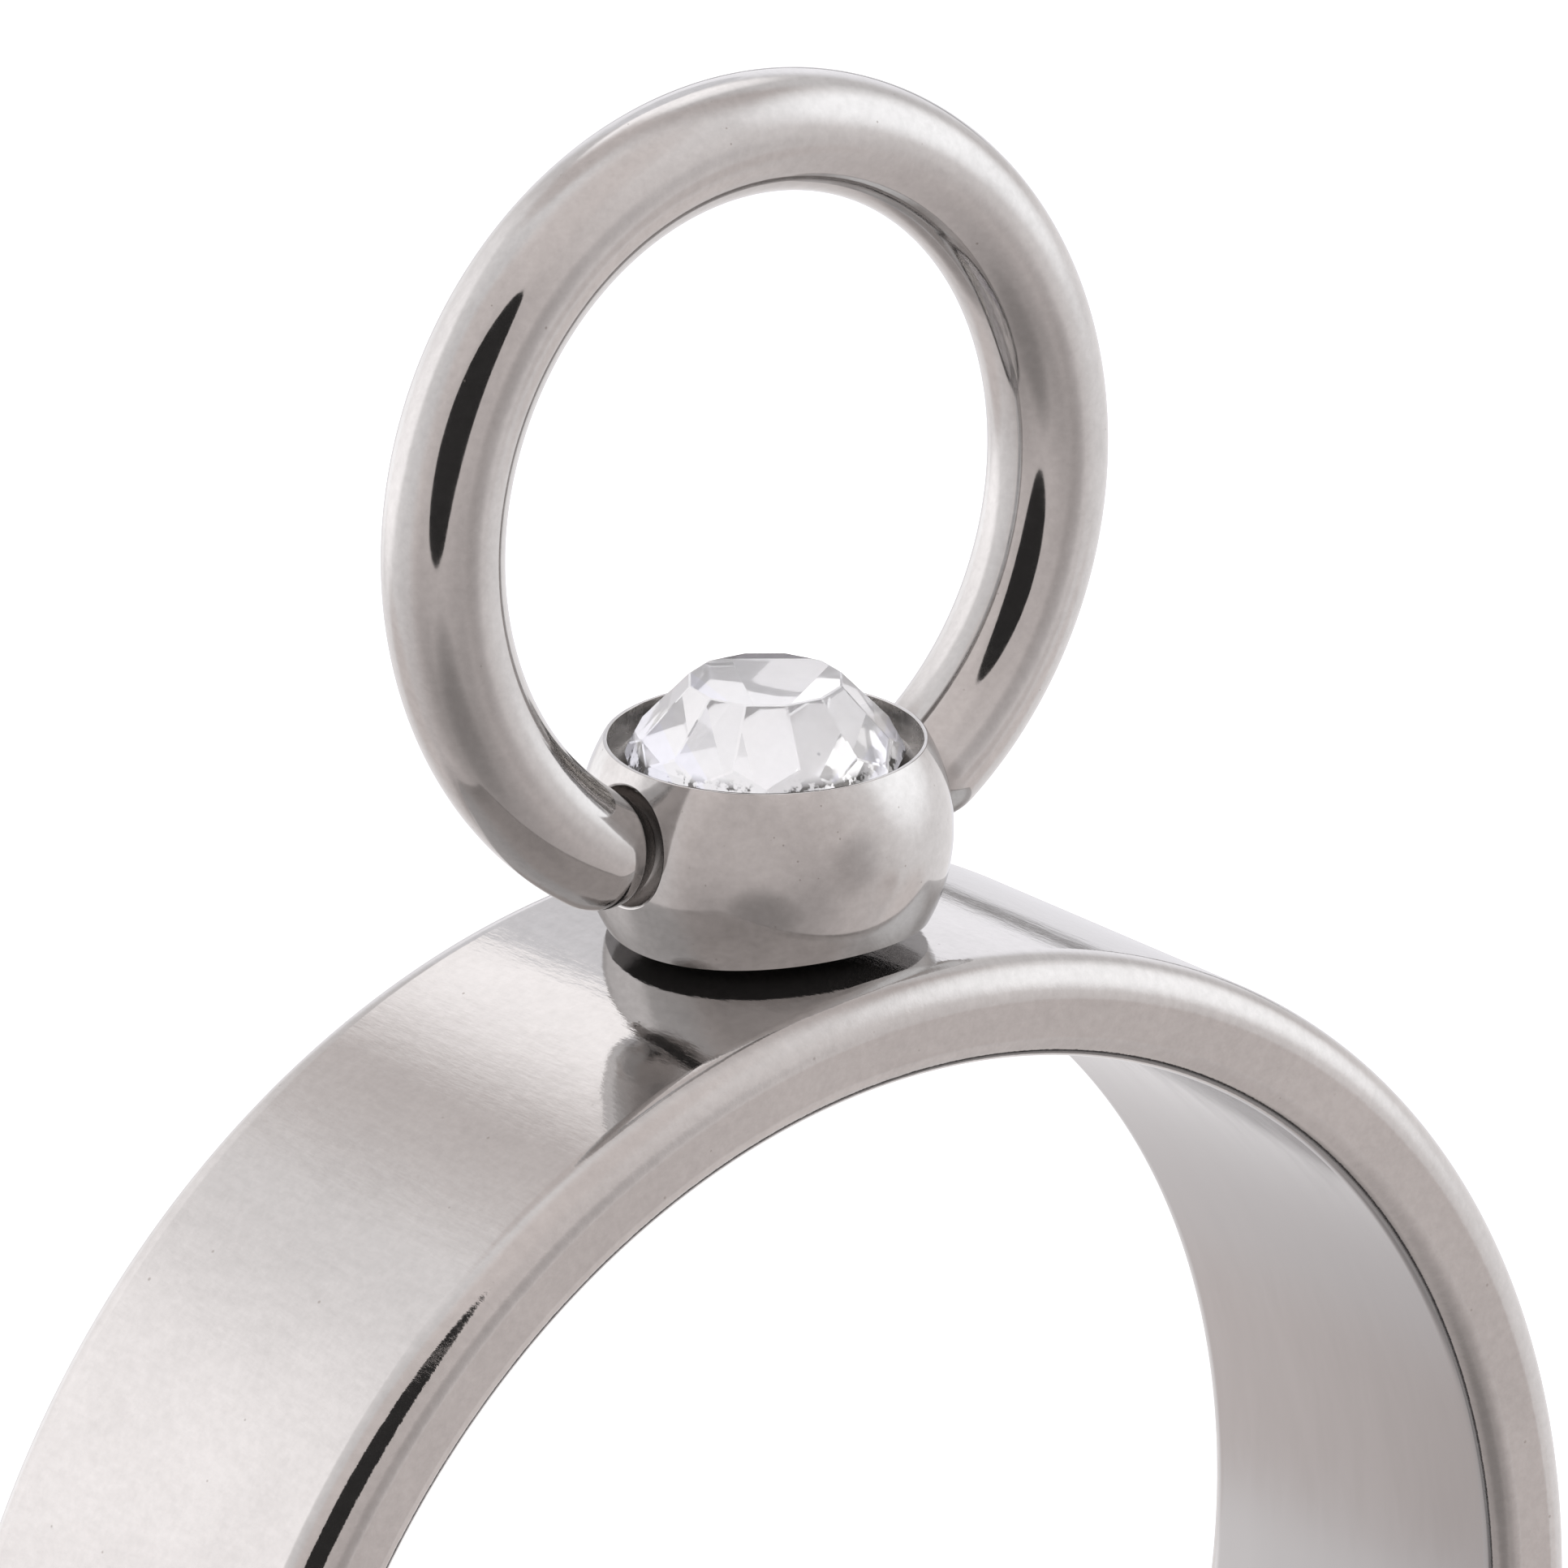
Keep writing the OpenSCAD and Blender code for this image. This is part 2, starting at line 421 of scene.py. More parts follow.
def makeSpeckGroup():
    # scattered dark specks: only some cells hold one, and each has its own size
    group, given, out = newGroup("fineSpecks", ("Scale", "Share", "Size"), ("Mask",))
    cells = group.nodes.new("ShaderNodeTexVoronoi")
    group.links.new(given.outputs["Place"], cells.inputs["Vector"])
    group.links.new(given.outputs["Scale"], cells.inputs["Scale"])
    parts = group.nodes.new("ShaderNodeSeparateColor")
    group.links.new(cells.outputs["Color"], parts.inputs[0])
    chosen = mathNode(group, "LESS_THAN", parts.outputs[0], given.outputs["Share"])
    reach = mathNode(group, "MULTIPLY", parts.outputs[1], given.outputs["Size"])
    inside = mathNode(group, "SUBTRACT", reach, cells.outputs["Distance"])
    inside = mathNode(group, "MULTIPLY", inside, noiseLook["speckEdge"], clamp=True)
    group.links.new(mathNode(group, "MULTIPLY", inside, chosen), out.inputs["Mask"])
    return group


hazeGroup = makeHazeGroup()
speckGroup = makeSpeckGroup()


def placeInMm(tree, stretch=(1, 1, 1)):
    coords = tree.nodes.new("ShaderNodeTexCoord")
    mapping = tree.nodes.new("ShaderNodeMapping")
    mapping.inputs["Scale"].default_value = [factor / mm for factor in stretch]
    tree.links.new(coords.outputs["Object"], mapping.inputs["Vector"])
    return mapping.outputs["Vector"]


def hazeNode(tree, place, cloudScale, grainScale):
    haze = tree.nodes.new("ShaderNodeGroup")
    haze.node_tree = hazeGroup
    haze.inputs["Cloud Scale"].default_value = cloudScale
    haze.inputs["Grain Scale"].default_value = grainScale
    tree.links.new(place, haze.inputs["Place"])
    return haze.outputs


def speckNode(tree, place, scale, share, size):
    specks = tree.nodes.new("ShaderNodeGroup")
    specks.node_tree = speckGroup
    for label, number in (("Scale", scale), ("Share", share), ("Size", size)):
        specks.inputs[label].default_value = number
    tree.links.new(place, specks.inputs["Place"])
    return specks.outputs["Mask"]


def blendOf(tree, parts):
    # the sum of (value, weight) pairs
    total = None
    for value, weight in parts:
        term = mathNode(tree, "MULTIPLY", value, weight)
        total = term if total is None else mathNode(tree, "ADD", total, term)
    return total


def bumpFrom(tree, shader, heightInMm):
    bump = tree.nodes.new("ShaderNodeBump")
    bump.inputs["Strength"].default_value = 1
    bump.inputs["Distance"].default_value = mm
    tree.links.new(heightInMm, bump.inputs["Height"])
    tree.links.new(bump.outputs["Normal"], shader.inputs["Normal"])


# what all the steel finishes share; a span is the part of a noise's range that is spread out
steelLook = {
    "metallic": 0.975, "mottleSpan": (0.38, 0.62), "streakCloud": 0.4, "speckRough": 0.15,
}


def steelMaterial(name, look):
    # in the look, depths are in mm and scales are per mm
    material = bpy.data.materials.new(name)
    material.use_nodes = True
    tree = material.node_tree
    shader = tree.nodes["Principled BSDF"]
    shader.inputs["Metallic"].default_value = steelLook["metallic"]
    place = placeInMm(tree)
    haze = hazeNode(tree, place, look["cloudScale"], look["grainScale"])
    streak = hazeNode(tree, placeInMm(tree, look["streakStretch"]), steelLook["streakCloud"],
                      look["streakScale"])
    specks = speckNode(tree, place, look["speckScale"], look["speckShare"], look["speckSize"])
    # colour: slow clouding with fine mottling, and specks that dull it
    mottle = blendOf(tree, ((haze["Cloud"], look["cloudShare"]),
                            (haze["Grain"], look["grainShare"]),
                            (streak["Grain"], 1 - look["cloudShare"] - look["grainShare"])))
    clouded = mixColors(tree, stretchRange(tree, mottle, *steelLook["mottleSpan"]),
                        look["colorDark"], look["colorLight"])
    dulled = mathNode(tree, "MULTIPLY", specks, look["speckDepth"])
    color = mixColors(tree, dulled, clouded, look["speckColor"])
    tree.links.new(color, shader.inputs["Base Color"])
    # roughness: haze and specks on top of the polish
    rough = stretchRange(tree, mottle, *steelLook["mottleSpan"],
                         look["roughLow"], look["roughHigh"])
    worn = mathNode(tree, "MULTIPLY", specks, steelLook["speckRough"])
    tree.links.new(mathNode(tree, "ADD", rough, worn), shader.inputs["Roughness"])
    bumpFrom(tree, shader, blendOf(tree, ((haze["Cloud"], look["waveDepth"]),
                                          (haze["Grain"], look["grainDepth"]),
                                          (streak["Grain"], look["streakDepth"]))))
    return material


# the bore, the cup and the dimples aren't polished as the outside is; each one also has painted
# light and shade, its colour going from its dark to its light end along one direction, which is
# measured in mm
dullFinishAndShade = {
    # painted reflection: the bore is darker towards its upper edge, and lighter and cooler towards
    # the bead's side
    "bore": {
        "metal": 1, "dark": (0.485, 0.482, 0.484), "light": (0.605, 0.602, 0.604),
        "along": (0, 0, -1), "span": (-2.8, 2.6), "rough": 0.14, "mottle": 0.05, "grain": 2.5,
        "stretch": (0.2, 0.2, 1), "paintedCrest": (0.60, 0.622, 0.65), "crestSpan": (3, 12),
    },
    # painted shade: the cup's wall is darker deep down and lighter up by the lip
    "cup": {
        "metal": 0.7, "dark": (0.43, 0.415, 0.405), "light": (0.72, 0.705, 0.69),
        "along": (0, 1, 0), "span": (13.6, 14.5), "rough": 0.25, "mottle": 0.5, "grain": 3.0,
        "stretch": (1, 1, 1),
    },
    # painted shade: each dimple is near black deep inside and lighter out towards its rim; its
    # crest is a painted highlight on its upper part
    "dimple": {
        "metal": 1, "dark": (0.045, 0.041, 0.039), "light": (0.52, 0.495, 0.48),
        "along": (1, 0, 0), "span": (1.75, 2.01), "rough": 0.2, "mottle": 0.3, "grain": 6.0,
        "stretch": (1, 1, 1), "paintedCrest": (0.40, 0.38, 0.365), "crestSpan": (13.75, 14.15),
    },
}
# what they share
dullLook = {
    "cloudScale": 0.8, "cloudShare": 0.4, "grainShare": 0.6, "mottleSpan": (0.36, 0.64),
    "grainSpan": (0.3, 0.7), "smoother": 0.05, "rougher": 0.07,
    "grainDepth": 0.0005, "waveDepth": 0.004,
}


def dullShadedMaterial(name, look):
    material = bpy.data.materials.new(name)
    material.use_nodes = True
    tree = material.node_tree
    shader = tree.nodes["Principled BSDF"]
    shader.inputs["Metallic"].default_value = look["metal"]
    haze = hazeNode(tree, placeInMm(tree, look["stretch"]), dullLook["cloudScale"], look["grain"])
    way = dotWith(tree, placeInMm(tree), look["along"])
    # both dimples shade alike, so their way along is taken without its sign
    if look["along"][0]:
        way = mathNode(tree, "ABSOLUTE", way)
    share = stretchRange(tree, way, *look["span"])
    color = mixColors(tree, share, look["dark"], look["light"])
    if "paintedCrest" in look:
        # painted light: the part farthest along Y is given a lighter tone, a painted reflection on
        # the bore and a painted highlight on the dimples
        paintedCrest = stretchRange(tree, dotWith(tree, placeInMm(tree), (0, 1, 0)), *look["crestSpan"])
        color = mixColors(tree, paintedCrest, color, look["paintedCrest"])
    mottle = blendOf(tree, ((haze["Cloud"], dullLook["cloudShare"]),
                            (haze["Grain"], dullLook["grainShare"])))
    mottle = stretchRange(tree, mottle, *dullLook["mottleSpan"], 1 - look["mottle"], 1)
    shade = tree.nodes.new("ShaderNodeVectorMath")
    shade.operation = "SCALE"
    tree.links.new(color, shade.inputs[0])
    tree.links.new(mottle, shade.inputs["Scale"])
    tree.links.new(shade.outputs["Vector"], shader.inputs["Base Color"])
    rough = stretchRange(tree, haze["Grain"], *dullLook["grainSpan"],
                         look["rough"] - dullLook["smoother"], look["rough"] + dullLook["rougher"])
    tree.links.new(rough, shader.inputs["Roughness"])
    bumpFrom(tree, shader, blendOf(tree, ((haze["Grain"], dullLook["grainDepth"]),
                                          (haze["Cloud"], dullLook["waveDepth"]))))
    return material


def paintFaces(piece, material, chosen):
    # gives another finish to the faces whose centre, in mm, is chosen
    piece.data.materials.append(material)
    index = len(piece.data.materials) - 1
    for face in piece.data.polygons:
        if chosen(face.center / mm):
            face.material_index = index


# band

bandSize = {
    "boreRadius": 10.425, "wall": 1.4, "width": 6.2,
    "shoulder": 0.55, "innerEdge": 0.4, "steps": 600, "edgeSteps": 14,
    "studHoleRadius": 0.93, "studHoleDepth": 0.9, "holeSteps": 96, "drillLength": 2,
}
bandOuter = bandSize["boreRadius"] + bandSize["wall"]
near = 0.002  # how close to an exact surface a face counts as on it, mm
weld = 0.0005  # points closer than this are made one, mm

bandFinish = {
    "colorDark": (0.575, 0.564, 0.557), "colorLight": (0.655, 0.643, 0.636),
    "cloudScale": 0.45, "cloudShare": 0.3, "grainScale": 7.0, "grainShare": 0.4,
    "streakScale": 6.0, "streakStretch": (1, 1, 0.22),
    "roughLow": 0.045, "roughHigh": 0.09,
    "waveDepth": 0.006, "grainDepth": 0.0003, "streakDepth": 0.0028,
    "speckScale": 4.0, "speckShare": 0.2, "speckSize": 0.13, "speckDepth": 0.45,
    "speckColor": (0.28, 0.25, 0.22),
}


def bandNormal(centre, point, faceNormal):
    if math.hypot(centre.x, centre.z) < bandSize["studHoleRadius"] + near and centre.y > 0:
        return faceNormal
    radius = math.hypot(point.x, point.y)
    half = bandSize["width"] / 2
    outside = radius > bandSize["boreRadius"] + bandSize["wall"] / 2
    edge = bandSize["shoulder"] if outside else bandSize["innerEdge"]
    away = point.z - max(-half + edge, min(half - edge, point.z))
    if outside:
        out = max(0, radius - (bandOuter - edge))
    else:
        out = min(0, radius - (bandSize["boreRadius"] + edge))
    return Vector((point.x / radius * out, point.y / radius * out, away)).normalized()


def makeBand(material):
    size = bandSize
    bm = bmesh.new()
    half = size["width"] / 2
    corners = [bm.verts.new((radius, 0, z)) for radius, z in
               ((size["boreRadius"], -half), (bandOuter, -half),
                (bandOuter, half), (size["boreRadius"], half))]
    bm.faces.new(corners)
    for pair, edge in (((corners[0], corners[3]), size["innerEdge"]),
                       ((corners[1], corners[2]), size["shoulder"])):
        bmesh.ops.bevel(bm, geom=list(pair), offset=edge, offset_type="OFFSET",
                        affect="VERTICES", segments=size["edgeSteps"], profile=0.5, material=-1)
    bmesh.ops.delete(bm, geom=list(bm.faces), context="FACES_ONLY")
    revolve(bm, size["steps"])
    band = pieceFrom(bm, "bandRing", material)
    # blind hole for the bead's stud
    bm = bmesh.new()
    bmesh.ops.create_cone(bm, cap_ends=True, segments=size["holeSteps"],
                          radius1=size["studHoleRadius"], radius2=size["studHoleRadius"],
                          depth=size["drillLength"])
    middle = bandOuter - size["studHoleDepth"] + size["drillLength"] / 2
    cutWith(band, pieceFrom(bm, "studHole", None, shift(0, middle, 0) @ turn(90, "X")))
    boreEdge = size["boreRadius"] + 10 * near
    paintFaces(band, dullShadedMaterial("boreSteel", dullFinishAndShade["bore"]),
               lambda spot: math.hypot(spot.x, spot.y) < boreEdge)
    shadeAs(band, bandNormal)
    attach(band, "ring")
    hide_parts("band")


makeBand(steelMaterial("satinSteel", bandFinish))
print("band made")


# bead

beadSize = {
    "radius": 2.465, "lift": 13.125, "turn": -1.8,
    "lipHeight": 1.25, "lipWidth": 0.055, "lipRound": 0.014,
    "ledgeHeight": 0.95, "coneTop": 1.935, "coneBottom": -0.527,
    "bandGap": 0.22, "studRadius": 0.9, "studTop": -1.0, "studBottom": -2.17,
    "dimpleRadius": 0.86, "dimpleAcross": 2.62, "dimpleUp": 0.3, "dimpleRound": 0.05,
    "steps": 256, "arcSteps": 130, "saddleSteps": 1440, "saddleLength": 8, "studSteps": 96,
    "dimpleSteps": 120, "wallSteps": 44, "flareSteps": 9, "flareOver": 0.0015, "toolTop": 0.6,
    "lipSteps": 3, "cupFrom": -0.6, "cupTo": 1.23, "cupOver": 0.005,
}
# the bead's own axis is Z in its making; this stands it on the band
onBand = shift(0, beadSize["lift"], 0) @ turn(-90, "X") @ turn(beadSize["turn"], "Z")
toBead = onBand.inverted()
# the middles of the two dimples' balls, on the hoop's hinge line
dimpleMiddles = [Vector((side * beadSize["dimpleAcross"], 0, beadSize["dimpleUp"]))
                 for side in (1, -1)]

beadFinish = {
    "colorDark": (0.56, 0.552, 0.546), "colorLight": (0.657, 0.65, 0.646),
    "cloudScale": 0.9, "cloudShare": 0.35, "grainScale": 7.0, "grainShare": 0.45,
    "streakScale": 6.0, "streakStretch": (0.5, 1, 0.5),
    "roughLow": 0.05, "roughHigh": 0.12,
    "waveDepth": 0.003, "grainDepth": 0.0003, "streakDepth": 0.0002,
    "speckScale": 9.0, "speckShare": 0.35, "speckSize": 0.17, "speckDepth": 0.45,
    "speckColor": (0.22, 0.19, 0.17),
}


def beadNormal(centre, point, faceNormal):
    size = beadSize
    here, spot = toBead @ centre, toBead @ point
    if abs(here.length - size["radius"]) < near:
        return onBand.to_3x3() @ spot.normalized()
    if abs(math.hypot(centre.x, centre.y) - bandOuter - size["bandGap"]) < near:
        return Vector((-point.x, -point.y, 0)).normalized()
    for middle in dimpleMiddles:
        if abs((here - middle).length - size["dimpleRadius"]) < near:
            return onBand.to_3x3() @ (middle - spot).normalized()
    return faceNormal


def makeDimpleTool(side):
    # a ball on the hinge line, with a small flare where it meets the bead's surface
    size = beadSize
    reach = math.hypot(size["dimpleAcross"], size["dimpleUp"])
    hollow, flare = size["dimpleRadius"], size["dimpleRound"]
    # the flare's centre: how far it is from the bead's middle and from the ball's
    fromBead, fromBall = size["radius"] - flare + size["flareOver"], hollow + flare
    along = (reach ** 2 + fromBead ** 2 - fromBall ** 2) / (2 * reach)
    across = math.sqrt(fromBead ** 2 - along ** 2)
    wallAngle = math.degrees(math.atan2(across, reach - along))
    topAngle = math.degrees(math.atan2(across, along))
    bm = bmesh.new()
    start = bm.verts.new((0, 0, reach - hollow))
    edge = arc(bm, start, (0, 0, reach), -wallAngle, size["wallSteps"])
    edge = arc(bm, edge, (across, 0, along), 180 - wallAngle - topAngle, size["flareSteps"])
    edge = lineTo(bm, edge, edge.co.x + flare, reach + size["toolTop"])
    lineTo(bm, edge, 0, reach + size["toolTop"])
    revolve(bm, size["dimpleSteps"])
    tilt = math.degrees(math.atan2(size["dimpleAcross"] * side, size["dimpleUp"]))
    return pieceFrom(bm, "dimpleTool", None, onBand @ turn(tilt, "Y"))


def makeBead(material):
    size = beadSize
    bm = bmesh.new()
    lipAngle = math.degrees(math.asin(size["lipHeight"] / size["radius"]))
    lipOuter = math.sqrt(size["radius"] ** 2 - size["lipHeight"] ** 2)
    cupRadius = lipOuter - size["lipWidth"]
    edge = arc(bm, bm.verts.new((0, 0, -size["radius"])), (0, 0, 0),
               -(90 + lipAngle), size["arcSteps"])
    edge = lineTo(bm, edge, cupRadius, size["lipHeight"])
    edge = lineTo(bm, edge, cupRadius, size["ledgeHeight"])
    edge = lineTo(bm, edge, size["coneTop"], size["ledgeHeight"])
    lineTo(bm, edge, 0, size["coneBottom"])
    revolve(bm, size["steps"])
    rim = [e for e in bm.edges if all(abs(v.co.z - size["lipHeight"]) < 1e-5 for v in e.verts)
           and abs(e.verts[0].co.xy.length - e.verts[1].co.xy.length) < 1e-5]
    bmesh.ops.bevel(bm, geom=rim, offset=size["lipRound"], offset_type="OFFSET",
                    affect="EDGES", segments=size["lipSteps"], profile=0.5, material=-1)
    bead = pieceFrom(bm, "beadSetting", material, onBand)
    # the underside follows the band
    bm = bmesh.new()
    saddle = bandOuter + size["bandGap"]
    bmesh.ops.create_cone(bm, cap_ends=True, segments=size["saddleSteps"], radius1=saddle,
                          radius2=saddle, depth=size["saddleLength"])
    cutWith(bead, pieceFrom(bm, "saddleTool", None))
    for side in (1, -1):
        cutWith(bead, makeDimpleTool(side))
    bm = bmesh.new()
    bmesh.ops.create_cone(bm, cap_ends=True, segments=size["studSteps"],
                          radius1=size["studRadius"], radius2=size["studRadius"],
                          depth=size["studTop"] - size["studBottom"])
    middle = (size["studTop"] + size["studBottom"]) / 2
    cutWith(bead, pieceFrom(bm, "studTool", None, onBand @ shift(0, 0, middle)), "UNION")
    paintFaces(bead, dullShadedMaterial("cupSteel", dullFinishAndShade["cup"]),
               lambda spot: size["cupFrom"] < (toBead @ spot).z < size["cupTo"]
               and (toBead @ spot).xy.length < cupRadius + size["cupOver"])
    paintFaces(bead, dullShadedMaterial("dimpleSteel", dullFinishAndShade["dimple"]),
               lambda spot: min((toBead @ spot - middle).length for middle in dimpleMiddles)
               < size["dimpleRadius"] + 2 * near)
    shadeAs(bead, beadNormal)
    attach(bead, "ring")
    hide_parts("bead_setting")


makeBead(steelMaterial("beadSteel", beadFinish))
print("bead made")


# hoop

hoopSize = {
    "wireRadius": 0.8, "radius": 4.94, "height": 4.45, "hinge": 0.3,
    "endAcross": 2.74, "slide": -0.06, "lean": 3.4, "steps": 420, "around": 72, "endSteps": 36,
}

hoopFinish = {
    "colorDark": (0.575, 0.568, 0.564), "colorLight": (0.662, 0.655, 0.651),
    "cloudScale": 0.6, "cloudShare": 0.35, "grainScale": 8.0, "grainShare": 0.4,
    "streakScale": 6.0, "streakStretch": (0.6, 0.6, 1.2),
    "roughLow": 0.045, "roughHigh": 0.10,
    "waveDepth": 0.005, "grainDepth": 0.0002, "streakDepth": 0.0001,
    "speckScale": 5.5, "speckShare": 0.25, "speckSize": 0.13, "speckDepth": 0.5,
    "speckColor": (0.24, 0.21, 0.18),
}


def wireEnd(bm, atAngle, forward):
    # half a ball that closes the wire
    size = hoopSize
    made = bmesh.ops.create_uvsphere(bm, u_segments=size["around"], v_segments=size["endSteps"],
                                     radius=size["wireRadius"],
                                     matrix=shift(size["radius"], 0, 0) @ turn(90, "X"))
    faces = {face for vert in made["verts"] for face in vert.link_faces}
    edges = {item for vert in made["verts"] for item in vert.link_edges}
    bmesh.ops.bisect_plane(bm, geom=made["verts"] + list(edges) + list(faces), dist=0.0001,
                           plane_co=(size["radius"], 0, 0), plane_no=(0, -forward, 0),
                           clear_outer=True)
    left = [vert for vert in made["verts"] if vert.is_valid]
    bmesh.ops.rotate(bm, verts=left, cent=(0, 0, 0), matrix=Matrix.Rotation(atAngle, 3, "Z"))
    return left


def makeHoop(material):
    size = hoopSize
    gap = math.asin(size["endAcross"] / size["radius"])
    bm = bmesh.new()
    wireEnd(bm, gap - math.pi / 2, -1)
    rim = [edge for edge in bm.edges if edge.is_boundary]
    bmesh.ops.spin(bm, geom=rim, cent=(0, 0, 0), axis=(0, 0, 1),
                   angle=math.tau - 2 * gap, steps=size["steps"])
    wireEnd(bm, -gap - math.pi / 2, 1)
    bmesh.ops.remove_doubles(bm, verts=bm.verts, dist=weld)
    bmesh.ops.recalc_face_normals(bm, faces=bm.faces)
    place = (onBand @ shift(size["slide"], 0, size["hinge"]) @ turn(-size["lean"], "X")
             @ shift(0, 0, size["height"] - size["hinge"]) @ turn(90, "X"))
    hoop = pieceFrom(bm, "wireHoop", material, place)
    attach(hoop, "hoop")
    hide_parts("hoop")


makeHoop(steelMaterial("hoopSteel", hoopFinish))
print("hoop made")


# crystal

crystalSize = {
    "crownFacets": 12, "tableHeight": 2.06, "tableRadius": 0.99, "crownSlope": 47.5,
    "smallHeight": 1.38, "smallSlope": 71, "girdleRadius": 1.86, "girdleHeight": 1.0,
    "backFacets": 8, "backSlope": 40, "backInset": 0.1, "turn": 22.8, "girdleSteps": 128,
    "edgeRound": 0.018, "wornFrom": 1.05, "wornAngle": 0.15, "foilFacing": -0.3,
}


def cutFacet(bm, turnAngle, slope, radius, height, down=False):
    # planes lean out from the axis; what lies outside each one goes, and a flat facet closes it
    sign = -1 if down else 1
    lean = math.radians(slope)
    normal = Vector((math.sin(lean) * math.cos(math.radians(turnAngle)),
                     math.sin(lean) * math.sin(math.radians(turnAngle)), sign * math.cos(lean)))
    point = Vector((radius * math.cos(math.radians(turnAngle)),
                    radius * math.sin(math.radians(turnAngle)), height))
    made = bmesh.ops.bisect_plane(bm, geom=bm.verts[:] + bm.edges[:] + bm.faces[:], dist=1e-6,
                                  plane_co=point, plane_no=normal, clear_outer=True)
    rim = [item for item in made["geom_cut"] if isinstance(item, bmesh.types.BMEdge)]
    if rim:
        bmesh.ops.contextual_create(bm, geom=rim)


def makeCrystal(glass, foil):
    size = crystalSize
    backReach = size["girdleRadius"] - size["backInset"]
    culet = size["girdleHeight"] - backReach * math.tan(math.radians(size["backSlope"]))
    depth = size["tableHeight"] - culet
    bm = bmesh.new()
    bmesh.ops.create_cone(bm, cap_ends=True, segments=size["girdleSteps"],
                          radius1=size["girdleRadius"], radius2=size["girdleRadius"], depth=depth,
                          matrix=shift(0, 0, culet + depth / 2))
    count = size["crownFacets"]
    ridgeFall = size["tableHeight"] - size["smallHeight"]
    ridgeRun = ridgeFall / math.tan(math.radians(size["crownSlope"]))
    ridge = (size["tableRadius"] + ridgeRun) / math.cos(math.pi / count)
    for k in range(count):
        cutFacet(bm, size["turn"] + k * 360 / count, size["crownSlope"],
                 size["tableRadius"], size["tableHeight"])
    for k in range(count):
        cutFacet(bm, size["turn"] + (k + 0.5) * 360 / count, size["smallSlope"],
                 ridge, size["smallHeight"])
    for k in range(size["backFacets"]):
        cutFacet(bm, k * 360 / size["backFacets"], size["backSlope"],
                 backReach, size["girdleHeight"], down=True)
    bmesh.ops.remove_doubles(bm, verts=bm.verts, dist=weld)
    bmesh.ops.recalc_face_normals(bm, faces=bm.faces)
    # the crown's edges are worn a little round
    worn = [edge for edge in bm.edges
            if min(vert.co.z for vert in edge.verts) > size["wornFrom"]
            and edge.calc_face_angle(0) > size["wornAngle"]]
    bmesh.ops.bevel(bm, geom=worn, offset=size["edgeRound"], offset_type="OFFSET", affect="EDGES",
                    segments=1, profile=0.5, material=-1)
    bmesh.ops.recalc_face_normals(bm, faces=bm.faces)
    crystal = pieceFrom(bm, "crystalStone", glass, onBand)
    crystal.data.materials.append(foil)
    for face in crystal.data.polygons:
        face.use_smooth = False
        if (toBead.to_3x3() @ face.normal).z < size["foilFacing"]:
            face.material_index = 1
    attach(crystal, "ring")
    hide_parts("crystal")


glassLook = {
    "colorDark": (0.955, 0.96, 0.985), "colorLight": (0.995, 0.995, 1.0),
    "cloud": 0.9, "cloudSpan": (0.35, 0.65), "grain": 9.0, "grainSpan": (0.5, 0.7),
    # the last colour on the next line is a painted shade, the stone's colour where the steel
    # mirrors it
    "ior": 1.56, "roughHigh": 0.012, "mirroredShade": (0.21, 0.185, 0.155),
    # a painted dark reflection lies as a sliver along the table's far edge; its way along the
    # table and how far out, mm
    "sliverWay": (0.634, 0, -0.773), "sliverFrom": 0.75, "sliverTo": 0.78,
    "sliverShadeColor": (0.05, 0.045, 0.052),
    # glue that shows in blots where the facets meet the cup; heights over the bead's middle, mm
    "glueFrom": 1.29, "glueTo": 1.17, "glueGrain": 2.2, "glueSpan": (0.5, 0.54),
    "glueColor": (0.04, 0.038, 0.036),
    "bubbleScale": 3.2, "bubbleShare": 0.2, "bubbleSize": 0.13, "bubbleRough": 0.2,
    "bubbleColor": (0.42, 0.43, 0.46),
}


